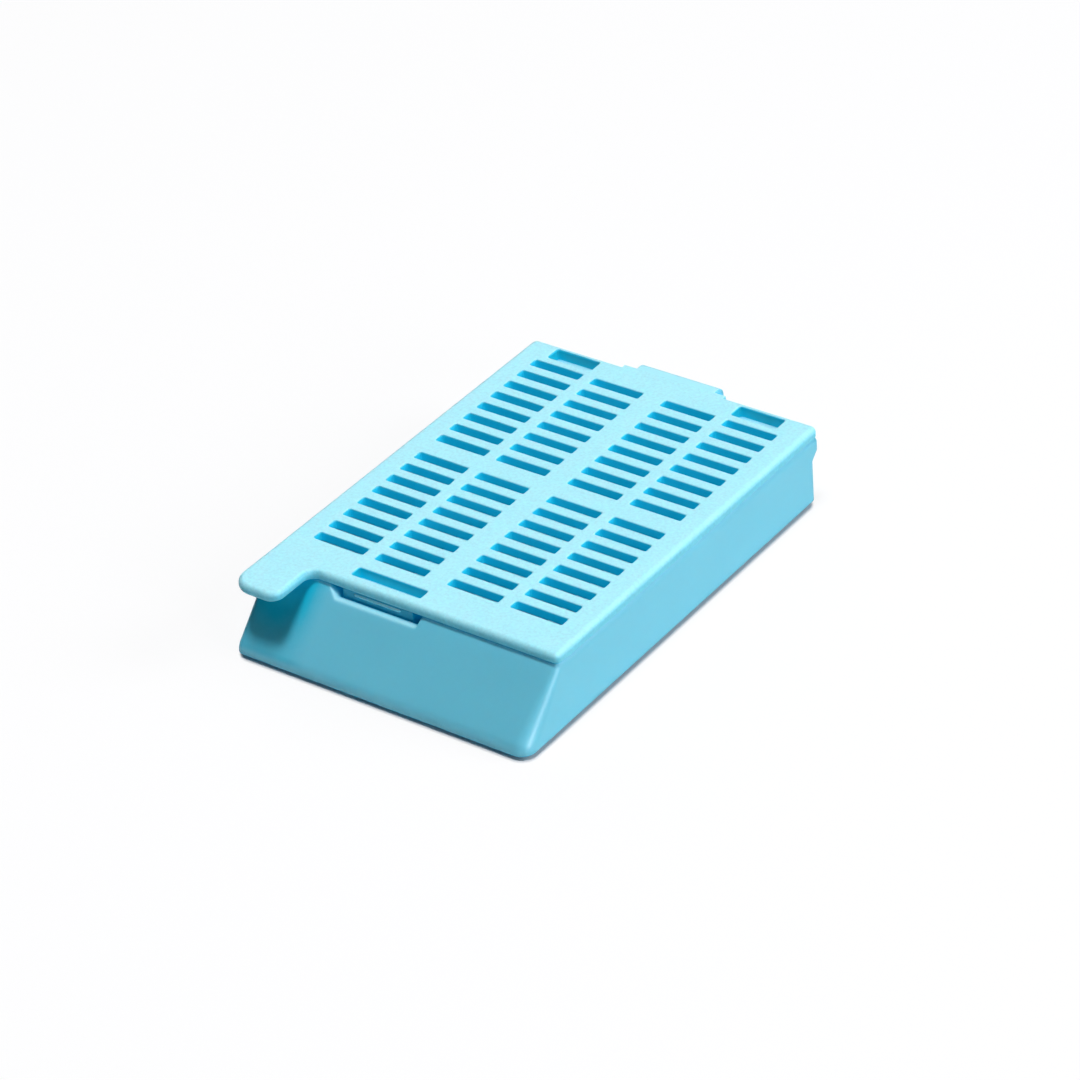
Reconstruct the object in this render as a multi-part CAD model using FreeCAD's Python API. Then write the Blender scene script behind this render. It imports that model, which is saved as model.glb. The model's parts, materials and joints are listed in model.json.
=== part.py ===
import FreeCAD, Part
import math
import os

# Hinged histology cassette: a shallow slotted tray and a slotted lid, moulded
# together in one piece of acetal and joined by a thin folded strap.
# Millimetres. +Z up, standing on its foot rim, writing face towards -Y,
# hinge towards +Y, origin under the middle of the closed cassette.

# ---- driving sizes: whole body ----
BODY_WIDTH = 28.5
BODY_LENGTH = 42.1          # from the toe of the writing face to the rear lip
BASE_HEIGHT = 5.9           # foot rim to the rim that carries the lid
LID_THICKNESS = 1.0

# ---- tray ----
SIDE_WALL = 1.2
REAR_WALL = 1.3
FLOOR_THICKNESS = 0.9
FLOOR_LIFT = 0.5            # gap under the floor, inside the foot rim
INNER_CORNER_RADIUS = 0.5
FOOT_EDGE_RADIUS = 0.2

# ---- writing face ----
WRITING_ANGLE = 46.0        # degrees from the horizontal
TOE_HEIGHT = 0.75           # upright band below the slope
TOE_RADIUS = 1.4
PANEL_THICKNESS = 1.1
FRONT_WALL = 1.1            # upright wall between the tray and the hollow wedge
RIM_BRIDGE = 1.2            # solid depth over the hollow wedge
LEFT_CORNER_RADIUS = 0.6    # front corners at the toe, the left one tighter
RIGHT_CORNER_RADIUS = 1.3
CREST_CORNER_RADIUS = 0.5   # what both corners narrow to at the crest
CREST_RADIUS = 0.45
WEDGE_RIB = 0.9
WEDGE_RIB_OFFSET = 8.4      # from the middle to each of the two ribs

# ---- rear lip ----
REAR_LIP = 0.75             # how far the lip stands out from the rear wall
LIP_HEIGHT = 1.2
REAR_CORNER_RADIUS = 0.4

# ---- slots, the same in the lid and in the floor ----
SLOT_LENGTH = 4.9
SLOT_WIDTH = 0.9
SLOT_EDGE = 0.08            # small bevel round each slot in the lid's top
ROW_PITCH = 1.92
BANKS = 2
BANK_GAP = 1.09             # extra space between the two banks of rows
COLUMN_BAR = 1.19           # bar between the two columns on one side
SPINE_WIDTH = 2.24          # bar down the middle, between the two sides
SLOT_FRONT_MARGIN = 3.65    # lid's front edge to the first row
SLOT_TO_WALL = 1.0          # first row to the front wall of the tray
SLOT_TO_LUG = 0.08          # least bar left between the last row and the lid's lugs

# ---- lid ----
LID_OVERHANG = 0.175        # lid's front edge beyond the crest of the writing face
PLATE_RECESS = 0.2          # the lid is this much thinner between the walls
LID_TOP_RADIUS = 0.45
LID_BOTTOM_RADIUS = 0.3
LID_CORNER_RADIUS = 0.55
TAB_WIDTH = 4.57
TAB_REACH = 4.5             # thumb tab beyond the lid's front edge
TAB_OUTER_RADIUS = 1.7
TAB_INNER_RADIUS = 1.2
TAB_ROOT_RADIUS = 0.9

# ---- windows in the lid ----
FRONT_WINDOW_LENGTH = 6.75
FRONT_WINDOW_WIDTH = 1.1
FRONT_WINDOW_OFFSET = -2.97  # middle of the window, left of the lid's middle
REAR_WINDOW_LENGTH = 4.4
REAR_WINDOW_WIDTH = 1.45
REAR_WINDOW_OFFSET = 9.25    # each side of the middle
REAR_WINDOW_MARGIN = 0.6     # strip left between a window and the lid's rear edge

# ---- front latch ----
TONGUE_OFFSET = -3.2        # middle of the tongue, left of the lid's middle
TONGUE_WIDTH = 6.9
TONGUE_THICKNESS = 0.87
TONGUE_DROP = 1.6           # how far it hangs below the rim
TONGUE_TIP_BEVEL = 0.25
BEAD_LENGTH = 4.6           # low snap bead across the tongue's front
BEAD_HEIGHT = 0.26
BEAD_REACH = 0.13
BEAD_DROP = 0.2             # ridge of the bead below the rim
LATCH_CLEARANCE = 0.15
NOTCH_DEPTH = 0.75
NOTCH_LEFT_GAP = 0.3        # tongue to the notch's side, at its bottom
NOTCH_RIGHT_GAP = 0.65
NOTCH_LEFT_FLARE = 0.95     # the notch is this much wider at the top
NOTCH_RIGHT_FLARE = 0.25
NOTCH_EDGE_RADIUS = 0.2

# ---- rear locating lugs ----
LUG_WIDTH = 4.0
LUG_THICKNESS = 0.55
LUG_DROP = 1.2
LUG_CLEARANCE = 0.15

# ---- living hinge ----
LAND_WIDTH = 10.2
LAND_REACH = 0.22           # thick root of the strap beyond the lip
LAND_STEP = 0.08            # the root lies this much below the lid's top
STRAP_WIDTH = 7.9
STRAP_THICKNESS = 0.3
STRAP_STEP = 0.06           # the strap lies this much below its root
STRAP_STRAIGHT = 0.5        # flat run before the fold

# ---- worked out from the sizes above ----
HALF_WIDTH = BODY_WIDTH / 2
RIM_Z = BASE_HEIGHT
TOP_Z = RIM_Z + LID_THICKNESS
FOLD_RADIUS = LID_THICKNESS - LAND_STEP - STRAP_STEP
HINGE_REACH = LAND_REACH + STRAP_STRAIGHT + FOLD_RADIUS
TOTAL_LENGTH = BODY_LENGTH + HINGE_REACH

TOE_Y = -TOTAL_LENGTH / 2
LIP_Y = TOE_Y + BODY_LENGTH
REAR_Y = LIP_Y - REAR_LIP
SLOPE = math.tan(math.radians(WRITING_ANGLE))
CREST_Y = TOE_Y + (RIM_Z - TOE_HEIGHT) / SLOPE
LID_FRONT_Y = CREST_Y - LID_OVERHANG
TAB_Y = LID_FRONT_Y - TAB_REACH
TAB_X = -HALF_WIDTH + TAB_WIDTH

FIRST_ROW_Y = LID_FRONT_Y + SLOT_FRONT_MARGIN + SLOT_WIDTH / 2
TRAY_FRONT_Y = FIRST_ROW_Y - SLOT_WIDTH / 2 - SLOT_TO_WALL
TRAY_REAR_Y = REAR_Y - REAR_WALL
TRAY_HALF_WIDTH = HALF_WIDTH - SIDE_WALL
FLOOR_TOP_Z = FLOOR_LIFT + FLOOR_THICKNESS
WALL_FRONT_Y = TRAY_FRONT_Y - FRONT_WALL
LUG_REAR_Y = TRAY_REAR_Y - LUG_CLEARANCE
LUG_FRONT_Y = LUG_REAR_Y - LUG_THICKNESS

# as many whole rows as fit between the front of the tray and the lugs
ROW_ROOM = LUG_FRONT_Y - SLOT_TO_LUG - (FIRST_ROW_Y + SLOT_WIDTH / 2) - (BANKS - 1) * BANK_GAP
ROWS_PER_BANK = (1 + int(ROW_ROOM / ROW_PITCH)) // BANKS

WINDOW_FRONT_Y = LID_FRONT_Y + LID_OVERHANG + TONGUE_THICKNESS
REAR_WINDOW_REAR_Y = LIP_Y - REAR_WINDOW_MARGIN
FOLD_Y = LIP_Y + LAND_REACH + STRAP_STRAIGHT

BEYOND = 1.0                # how far cutting tools run past a face


def box(x0, x1, y0, y1, z0, z1):
    """A block between two corners."""
    return Part.makeBox(x1 - x0, y1 - y0, z1 - z0, FreeCAD.Vector(x0, y0, z0))


def closed_wire(points):
    """Straight-sided closed wire through the points."""
    return Part.makePolygon(points + [points[0]])


def prism_x(profile, x0, x1):
    """A profile of (y, z) points drawn out along X."""
    wire = closed_wire([FreeCAD.Vector(x0, y, z) for y, z in profile])
    return Part.Face(wire).extrude(FreeCAD.Vector(x1 - x0, 0, 0))


def prism_y(profile, y0, y1):
    """A profile of (x, z) points drawn out along Y."""
    wire = closed_wire([FreeCAD.Vector(x, y0, z) for x, z in profile])
    return Part.Face(wire).extrude(FreeCAD.Vector(0, y1 - y0, 0))


def rounded_wire(corners, z):
    """Closed plan outline at height z. Each corner is (x, y, radius)."""
    count = len(corners)
    points = [FreeCAD.Vector(x, y, z) for x, y, _ in corners]
    starts, ends, middles = [], [], []
    for i in range(count):
        here = points[i]
        before = (points[i - 1] - here).normalize()
        after = (points[(i + 1) % count] - here).normalize()
        radius = corners[i][2]
        half_angle = before.getAngle(after) / 2
        reach = radius / math.tan(half_angle)
        inward = (before + after).normalize()
        starts.append(here + before * reach)
        ends.append(here + after * reach)
        middles.append(here + inward * (radius / math.sin(half_angle) - radius))
    edges = []
    for i in range(count):
        if corners[i][2] > 0:
            edges.append(Part.Arc(starts[i], middles[i], ends[i]).toShape())
        edges.append(Part.LineSegment(ends[i], starts[(i + 1) % count]).toShape())
    return Part.Wire(edges)


def rounded_slab(corners, z0, z1):
    """A plan outline drawn up from z0 to z1."""
    face = Part.Face(rounded_wire(corners, z0))
    return face.extrude(FreeCAD.Vector(0, 0, z1 - z0))


def rear_outline(rear_y, front_y):
    """Corners of the body's rear part, rounded at the back."""
    return [
        (-HALF_WIDTH, front_y, 0),
        (HALF_WIDTH, front_y, 0),
        (HALF_WIDTH, rear_y, REAR_CORNER_RADIUS),
        (-HALF_WIDTH, rear_y, REAR_CORNER_RADIUS),
    ]


def edges_where(shape, test):
    """The edges whose two ends and middle all pass a test on (x, y, z)."""
    found = []
    for edge in shape.Edges:
        first, last = edge.ParameterRange
        samples = [edge.valueAt(first + (last - first) * t) for t in (0.02, 0.5, 0.98)]
        if all(test(p) for p in samples):
            found.append(edge)
    return found


def near(a, b, slack=0.001):
    return abs(a - b) < slack


def slot_centres():
    """Middle of every slot, column by column, front row first."""
    inner = SPINE_WIDTH / 2 + SLOT_LENGTH / 2
    outer = inner + SLOT_LENGTH + COLUMN_BAR
    centres = []
    for x in (-outer, -inner, inner, outer):
        for row in range(BANKS * ROWS_PER_BANK):
            y = FIRST_ROW_Y + row * ROW_PITCH + (row // ROWS_PER_BANK) * BANK_GAP
            centres.append((x, y))
    return centres


def slot_tools(z0, z1):
    """Plain cutting blocks for all slots."""
    return [
        box(x - SLOT_LENGTH / 2, x + SLOT_LENGTH / 2, y - SLOT_WIDTH / 2, y + SLOT_WIDTH / 2, z0, z1)
        for x, y in slot_centres()
    ]


def bevel_tool(x0, x1, y0, y1):
    """Shallow flared block that bevels an opening's edge in the lid's top."""
    low = TOP_Z - SLOT_EDGE
    high = TOP_Z + SLOT_EDGE
    grow = 2 * SLOT_EDGE
    bottom = [
        FreeCAD.Vector(x0, y0, low),
        FreeCAD.Vector(x1, y0, low),
        FreeCAD.Vector(x1, y1, low),
        FreeCAD.Vector(x0, y1, low),
    ]
    top = [
        FreeCAD.Vector(x0 - grow, y0 - grow, high),
        FreeCAD.Vector(x1 + grow, y0 - grow, high),
        FreeCAD.Vector(x1 + grow, y1 + grow, high),
        FreeCAD.Vector(x0 - grow, y1 + grow, high),
    ]
    return Part.makeLoft([closed_wire(bottom), closed_wire(top)], True, True)


# ---------------------------------------------------------------- base tray
def base_shell():
    """Outer form of the tray: sloping writing face, straight sides, rear lip."""
    middle_y = (CREST_Y + REAR_Y) / 2
    front = prism_x(
        [
            (TOE_Y, 0),
            (TOE_Y, TOE_HEIGHT),
            (CREST_Y, RIM_Z),
            (middle_y, RIM_Z),
            (middle_y, 0),
        ],
        -HALF_WIDTH,
        HALF_WIDTH,
    )
    rear = rounded_slab(rear_outline(REAR_Y, middle_y), 0, RIM_Z)
    lip = rounded_slab(rear_outline(LIP_Y, middle_y), RIM_Z - LIP_HEIGHT, RIM_Z)
    under_lip = Part.makeLoft(
        [
            rounded_wire(rear_outline(LIP_Y, middle_y), RIM_Z - LIP_HEIGHT),
            rounded_wire(rear_outline(REAR_Y, middle_y), RIM_Z - LIP_HEIGHT - REAR_LIP),
        ],
        True,
        True,
    )
    shell = front.fuse([rear, lip, under_lip]).removeSplitter()

    toe = edges_where(shell, lambda p: near(p.y, TOE_Y) and near(p.z, TOE_HEIGHT))
    shell = shell.makeFillet(TOE_RADIUS, toe)
    for x, radius in ((-HALF_WIDTH, LEFT_CORNER_RADIUS), (HALF_WIDTH, RIGHT_CORNER_RADIUS)):
        slanted = edges_where(
            shell,
            lambda p: near(p.x, x) and near(p.z - RIM_Z, (p.y - CREST_Y) * SLOPE),
        )
        shell = shell.makeFillet(radius, CREST_CORNER_RADIUS, slanted)
    crest = edges_where(shell, lambda p: near(p.z, RIM_Z) and near(p.y, CREST_Y))
    shell = shell.makeFillet(CREST_RADIUS, crest)
    foot = edges_where(shell, lambda p: near(p.z, 0))
    return shell.makeFillet(FOOT_EDGE_RADIUS, foot)


def tray_hollow():
    """Space for the specimen, with rounded upright corners."""
    outline = [
        (-TRAY_HALF_WIDTH, TRAY_FRONT_Y, INNER_CORNER_RADIUS),
        (TRAY_HALF_WIDTH, TRAY_FRONT_Y, INNER_CORNER_RADIUS),
        (TRAY_HALF_WIDTH, TRAY_REAR_Y, INNER_CORNER_RADIUS),
        (-TRAY_HALF_WIDTH, TRAY_REAR_Y, INNER_CORNER_RADIUS),
    ]
    inside = rounded_slab(outline, FLOOR_TOP_Z, RIM_Z + BEYOND)
    below = rounded_slab(outline, -BEYOND, FLOOR_LIFT)
    return [inside, below]


def wedge_hollow():
    """Hollow behind the writing face, open underneath, in three bays."""
    level = PANEL_THICKNESS / math.sin(math.radians(WRITING_ANGLE))
    roof_z = RIM_Z - RIM_BRIDGE
    roof_y = CREST_Y + level - RIM_BRIDGE / SLOPE
    toe_inner_y = TOE_Y + PANEL_THICKNESS
    toe_inner_z = RIM_Z - (CREST_Y + level - toe_inner_y) * SLOPE
    profile = [
        (toe_inner_y, -BEYOND),
        (toe_inner_y, toe_inner_z),
        (roof_y, roof_z),
        (WALL_FRONT_Y, roof_z),
        (WALL_FRONT_Y, -BEYOND),
    ]
    hollow = prism_x(profile, -TRAY_HALF_WIDTH, TRAY_HALF_WIDTH)
    ribs = [
        box(x - WEDGE_RIB / 2, x + WEDGE_RIB / 2, TOE_Y, TRAY_FRONT_Y, -BEYOND, RIM_Z)
        for x in (-WEDGE_RIB_OFFSET, WEDGE_RIB_OFFSET)
    ]
    return hollow.cut(ribs)


def notch_sides():
    """Left and right end of the notch's bottom."""
    left = TONGUE_OFFSET - TONGUE_WIDTH / 2 - NOTCH_LEFT_GAP
    right = TONGUE_OFFSET + TONGUE_WIDTH / 2 + NOTCH_RIGHT_GAP
    return left, right


def latch_notch():
    """Notch in the crest that the lid's tongue shows through."""
    left, right = notch_sides()
    profile = [
        (left, RIM_Z - NOTCH_DEPTH),
        (right, RIM_Z - NOTCH_DEPTH),
        (right + NOTCH_RIGHT_FLARE, RIM_Z),
        (right + NOTCH_RIGHT_FLARE, RIM_Z + BEYOND),
        (left - NOTCH_LEFT_FLARE, RIM_Z + BEYOND),
        (left - NOTCH_LEFT_FLARE, RIM_Z),
    ]
    return prism_y(profile, TOE_Y, CREST_Y + TONGUE_THICKNESS)


def tongue_pocket():
    """Well behind the notch that the tongue drops into."""
    left, right = notch_sides()
    front = CREST_Y - LATCH_CLEARANCE
    rear = CREST_Y + TONGUE_THICKNESS + LATCH_CLEARANCE
    depth = TONGUE_DROP + 2 * LATCH_CLEARANCE
    return box(left, right, front, rear, RIM_Z - depth, RIM_Z + BEYOND)


def land(z0, z1):
    """Thick root of the hinge strap, on the lip of the tray or of the lid."""
    return box(-LAND_WIDTH / 2, LAND_WIDTH / 2, LIP_Y - REAR_LIP, LIP_Y + LAND_REACH, z0, z1)


def make_base():
    base = base_shell().cut(latch_notch())
    low_z = RIM_Z - NOTCH_DEPTH
    left, right = notch_sides()
    rim_of_notch = edges_where(
        base,
        lambda p: left - NOTCH_LEFT_FLARE < p.x < right + NOTCH_RIGHT_FLARE
        and p.z > low_z - BEYOND / 100
        and near(p.y - CREST_Y, (p.z - RIM_Z) / SLOPE),
    )
    base = base.makeFillet(NOTCH_EDGE_RADIUS, rim_of_notch)
    base = base.cut(tray_hollow() + [wedge_hollow(), tongue_pocket()])
    base = base.cut(slot_tools(0, FLOOR_TOP_Z + BEYOND))
    root = land(RIM_Z - LIP_HEIGHT, RIM_Z - LAND_STEP)
    return base.fuse(root).removeSplitter()


# ---------------------------------------------------------------- lid
def lid_plate():
    """Lid outline with the thumb tab, rounded round its edge."""
    outline = [
        (-HALF_WIDTH, TAB_Y, TAB_OUTER_RADIUS),
        (TAB_X, TAB_Y, TAB_INNER_RADIUS),
        (TAB_X, LID_FRONT_Y, TAB_ROOT_RADIUS),
        (HALF_WIDTH, LID_FRONT_Y, LID_CORNER_RADIUS),
        (HALF_WIDTH, LIP_Y, LID_CORNER_RADIUS),
        (-HALF_WIDTH, LIP_Y, LID_CORNER_RADIUS),
    ]
    plate = rounded_slab(outline, RIM_Z, TOP_Z)
    top = edges_where(plate, lambda p: near(p.z, TOP_Z))
    plate = plate.makeFillet(LID_TOP_RADIUS, top)
    bottom = edges_where(plate, lambda p: near(p.z, RIM_Z))
    return plate.makeFillet(LID_BOTTOM_RADIUS, bottom)


def plate_recess():
    """Shallow hollow in the lid's underside, over the tray."""
    return box(
        -TRAY_HALF_WIDTH,
        TRAY_HALF_WIDTH,
        TRAY_FRONT_Y,
        TRAY_REAR_Y,
        RIM_Z - BEYOND,
        RIM_Z + PLATE_RECESS,
    )


def window_footprints():
    """Plan corners of the front window and the two rear windows."""
    half = FRONT_WINDOW_LENGTH / 2
    x = FRONT_WINDOW_OFFSET
    windows = [(x - half, x + half, WINDOW_FRONT_Y, WINDOW_FRONT_Y + FRONT_WINDOW_WIDTH)]
    half = REAR_WINDOW_LENGTH / 2
    front = REAR_WINDOW_REAR_Y - REAR_WINDOW_WIDTH
    for x in (-REAR_WINDOW_OFFSET, REAR_WINDOW_OFFSET):
        windows.append((x - half, x + half, front, REAR_WINDOW_REAR_Y))
    return windows


def tongue():
    """Latch tongue under the lid's front edge, with a low snap bead across it."""
    half = TONGUE_WIDTH / 2
    x = TONGUE_OFFSET
    front = CREST_Y
    rear = CREST_Y + TONGUE_THICKNESS
    tip_z = RIM_Z - TONGUE_DROP
    profile = [
        (front, RIM_Z + PLATE_RECESS),
        (front, tip_z + TONGUE_TIP_BEVEL),
        (front + TONGUE_TIP_BEVEL, tip_z),
        (rear, tip_z),
        (rear, RIM_Z + PLATE_RECESS),
    ]
    blade = prism_x(profile, x - half, x + half)
    bead_z = RIM_Z - BEAD_DROP
    ridge = [
        (front, bead_z + BEAD_HEIGHT / 2),
        (front - BEAD_REACH, bead_z),
        (front, bead_z - BEAD_HEIGHT / 2),
        (front + BEAD_REACH, bead_z),
    ]
    bead = prism_x(ridge, x - BEAD_LENGTH / 2, x + BEAD_LENGTH / 2)
    return blade.fuse(bead)


def lugs():
    """Two lugs that sit just inside the tray's rear wall."""
    return [
        box(
            x - LUG_WIDTH / 2,
            x + LUG_WIDTH / 2,
            LUG_FRONT_Y,
            LUG_REAR_Y,
            RIM_Z - LUG_DROP,
            TOP_Z - LID_THICKNESS / 2,
        )
        for x in (-REAR_WINDOW_OFFSET, REAR_WINDOW_OFFSET)
    ]


def make_lid():
    lid = lid_plate().cut(plate_recess())
    lid = lid.fuse([tongue(), land(RIM_Z + LAND_STEP, TOP_Z - LAND_STEP)] + lugs())
    windows = window_footprints()
    tools = slot_tools(RIM_Z - BEYOND, TOP_Z + BEYOND)
    tools += [box(x0, x1, y0, y1, RIM_Z, TOP_Z + BEYOND) for x0, x1, y0, y1 in windows]
    lid = lid.cut(tools)
    half_length = SLOT_LENGTH / 2
    half_width = SLOT_WIDTH / 2
    openings = [
        (x - half_length, x + half_length, y - half_width, y + half_width)
        for x, y in slot_centres()
    ]
    lid = lid.cut([bevel_tool(*corners) for corners in openings + windows])
    return lid.removeSplitter()


# ---------------------------------------------------------------- living hinge
def make_hinge():
    """Thin strap folded into a U behind the lip, from the lid to the tray."""
    outer = FOLD_RADIUS
    inner = FOLD_RADIUS - STRAP_THICKNESS
    root_y = LIP_Y + LAND_REACH
    x0 = -STRAP_WIDTH / 2

    def at(y, z):
        return FreeCAD.Vector(x0, y, z)

    edges = [
        Part.LineSegment(at(root_y, RIM_Z + outer), at(FOLD_Y, RIM_Z + outer)),
        Part.Arc(at(FOLD_Y, RIM_Z + outer), at(FOLD_Y + outer, RIM_Z), at(FOLD_Y, RIM_Z - outer)),
        Part.LineSegment(at(FOLD_Y, RIM_Z - outer), at(root_y, RIM_Z - outer)),
        Part.LineSegment(at(root_y, RIM_Z - outer), at(root_y, RIM_Z - inner)),
        Part.LineSegment(at(root_y, RIM_Z - inner), at(FOLD_Y, RIM_Z - inner)),
        Part.Arc(at(FOLD_Y, RIM_Z - inner), at(FOLD_Y + inner, RIM_Z), at(FOLD_Y, RIM_Z + inner)),
        Part.LineSegment(at(FOLD_Y, RIM_Z + inner), at(root_y, RIM_Z + inner)),
        Part.LineSegment(at(root_y, RIM_Z + inner), at(root_y, RIM_Z + outer)),
    ]
    wire = Part.Wire([edge.toShape() for edge in edges])
    return Part.Face(wire).extrude(FreeCAD.Vector(STRAP_WIDTH, 0, 0))


def main():
    os.makedirs("parts", exist_ok=True)
    nodes = {"base": make_base(), "lid": make_lid(), "living_hinge": make_hinge()}
    for name, shape in nodes.items():
        if not shape.isValid() or len(shape.Solids) != 1:
            raise ValueError(name + " isn't one valid solid")
        shape.Solids[0].exportStep("parts/" + name + ".step")
        size = shape.BoundBox
        print(name, round(shape.Volume, 2), "mm3", size)


main()
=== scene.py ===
import json
import math

import bmesh
import bpy
from mathutils import Matrix, Vector

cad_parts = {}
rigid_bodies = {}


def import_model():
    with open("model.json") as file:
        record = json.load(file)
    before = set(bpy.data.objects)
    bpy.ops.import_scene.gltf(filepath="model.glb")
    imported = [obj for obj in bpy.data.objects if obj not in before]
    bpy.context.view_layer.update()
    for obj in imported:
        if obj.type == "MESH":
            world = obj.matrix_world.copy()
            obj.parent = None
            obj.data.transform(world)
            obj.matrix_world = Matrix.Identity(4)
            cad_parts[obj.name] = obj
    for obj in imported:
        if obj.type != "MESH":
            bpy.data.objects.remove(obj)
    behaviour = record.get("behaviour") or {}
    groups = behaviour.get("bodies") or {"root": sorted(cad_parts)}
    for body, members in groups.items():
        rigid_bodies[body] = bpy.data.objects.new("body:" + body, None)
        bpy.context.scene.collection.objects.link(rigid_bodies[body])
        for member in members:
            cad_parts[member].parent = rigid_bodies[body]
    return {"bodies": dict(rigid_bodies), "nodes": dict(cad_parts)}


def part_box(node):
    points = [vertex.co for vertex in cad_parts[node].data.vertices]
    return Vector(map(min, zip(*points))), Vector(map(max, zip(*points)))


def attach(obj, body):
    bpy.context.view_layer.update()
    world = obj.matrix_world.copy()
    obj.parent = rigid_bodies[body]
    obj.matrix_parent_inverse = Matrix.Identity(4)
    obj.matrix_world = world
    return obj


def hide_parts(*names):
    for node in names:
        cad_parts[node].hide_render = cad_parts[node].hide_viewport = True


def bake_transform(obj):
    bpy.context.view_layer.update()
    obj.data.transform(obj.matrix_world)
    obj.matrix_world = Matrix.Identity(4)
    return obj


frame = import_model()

bl_info = {
    "name": "Tissue Cassette",
    "version": (1, 0, 0),
    "blender": (4, 5, 0),
    "location": "View3D > Sidebar > Cassette",
    "description": "A moulded tissue cassette with a slotted lid on a living hinge",
    "category": "Add Mesh",
}

MM = 0.001

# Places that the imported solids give: low and high corners of each node.
BASE_LOW, BASE_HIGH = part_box("base")
LID_LOW, LID_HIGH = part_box("lid")
STRAP_LOW, STRAP_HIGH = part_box("living_hinge")
RIM_Z = BASE_HIGH.z
TOP_Z = LID_HIGH.z
REAR_LIP = 0.75 * MM  # how far the base's rear lip stands out over the floor

# Building sizes that nobody needs to change.
RIM_STEPS, CORNER_STEPS, STRAP_STEPS = 10, 4, 3  # flats in a rounded corner
SOFT_STEPS = 2  # flats in a softened edge
WELD, WELD_FINE = 1e-6, 1e-7  # points closer than this become one
FRONT_STRIP = 1.0 * MM  # strip behind the front edge that has the front's lower radius
SIDE_BLEND = 2.0 * MM  # length over which the upper edge goes over to the side's radius
SIDE_POINT = 2.0 * MM  # plain point on each side, this far behind the front edge
BEAD_END = 0.4  # share of the bead's width that is left at its two ends
LAND_ROOT = 0.75 * MM  # how far the land reaches into the plate
LUG_ROOT = 0.1 * MM  # how far a lug reaches into the plate
CUT_PAST = 0.2 * MM  # how far a slot's cutter starts below the plate
SHARP_ANGLE = 40.0  # degrees; an edge that turns more is rounded, or else kept sharp
BASE_ANGLE = 50.0  # the same for the rounding of the base
FLAT_ANGLE = 0.5  # degrees; faces of the base that turn less become one
STRAP_CORNER = 0.55  # corner radius of the strap's section, as a share of half its thickness

# The moulded grain.
MIX_A, MIX_B, MIX_RESULT = 6, 7, 2  # sockets of a mix node that is set to colours
GRAIN_DETAIL = 3.0
GRAIN_SHARPNESS = 0.65
MOTTLE_SCALE = 160.0
MOTTLE_DETAIL = 2.0
MOTTLE_DEPTH = 0.04  # how much the broad mottle changes the colour
NOISE_MIDDLE = 0.5
ROUGHNESS_SPREAD = 0.25  # how much the grain changes the roughness
SMOOTH_HEIGHT = 0.25  # share of the grain's height that is left on smooth faces
# Painted shade and glow: how far and how much a face must be closed in to be painted.
AO_SAMPLES = 8
GAP_REACH = 1.6 * MM  # how far a face looks for what closes it in
GAP_CLOSED = (0.45, 0.85)  # closed in by this much, a face starts and ends turning to the painted shade
SHADE_REACH = 5.0 * MM  # the same for the painted shadow under the finger tab
SHADE_OPEN = (0.97, 0.80)
SLOPE_STEEP = (0.3, 0.6)  # upward lean of the writing face: neither upright
SLOPE_FLAT = (0.95, 0.80)  # nor level
TAB_MARGIN = 0.6 * MM  # the painted shadow of the tab reaches this far past its side
TAB_FADE = 1.5 * MM  # and fades out over this much

# The plastic.
ACETAL_IOR = 1.48
SCATTER_COLOUR = (0.4, 0.9, 1.0)
SCATTER_DEPTH = 0.14 * MM
BEVEL_SAMPLES = 6

# What a finish has when it says nothing else. Colours and painted glows are those of
# CassetteColours. By its upward lean a face is smooth and painted darker up to the first
# number of turn, and grained and painted lighter from the second, as if lit from above.
# edge rounds the shading of the piece's edges.
PLAIN_FINISH = {
    "scale": 3000.0, "speckle": 0.03, "bump": 0.002 * MM, "turn": (0.78, 0.99),
    "painted_glow": "inner", "edge": 0.0, "shine": 0.35,
}
FINISHES = {
    "satin base": {
        "grained_lit": "grained_lit", "smooth": "smooth",
        "bump": 0.003 * MM, "edge": 0.5 * MM, "shine": 0.65,
    },
    # The lid: grained and painted light on top, its rim painted deeper as it turns down.
    "grained lid": {
        "grained_lit": "grained_lit", "smooth": "rim",
        "scale": 3800.0, "speckle": 0.35, "bump": 0.006 * MM, "turn": (-0.1, 1.0),
    },
    # The slots' rounded upper edge is grained on top and painted in the slots' shade where it turns
    # down.
    "slot edge": {
        "grained_lit": "grained_lit", "smooth": "shaded_bore",
        "scale": 3800.0, "speckle": 0.2, "bump": 0.004 * MM, "turn": (0.35, 0.98),
    },
    # Slot walls: painted shade colour with a painted glow.
    "slot wall": {"grained_lit": "shaded_bore", "smooth": "shaded_bore", "painted_glow": "painted_slot_glow"},
    # Window walls: painted shade colour with a painted glow.
    "window wall": {"grained_lit": "window", "smooth": "window", "painted_glow": "painted_window_glow"},
    # The tongue is painted in the shade of its notch.
    "tongue": {"grained_lit": "rim", "smooth": "tongue", "turn": (0.4, 0.9)},
    # The hinge strap: grained and smooth faces with a painted glow.
    "hinge strap": {"grained_lit": "grained_lit", "smooth": "smooth", "painted_glow": "painted_strap_glow"},
}

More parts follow.
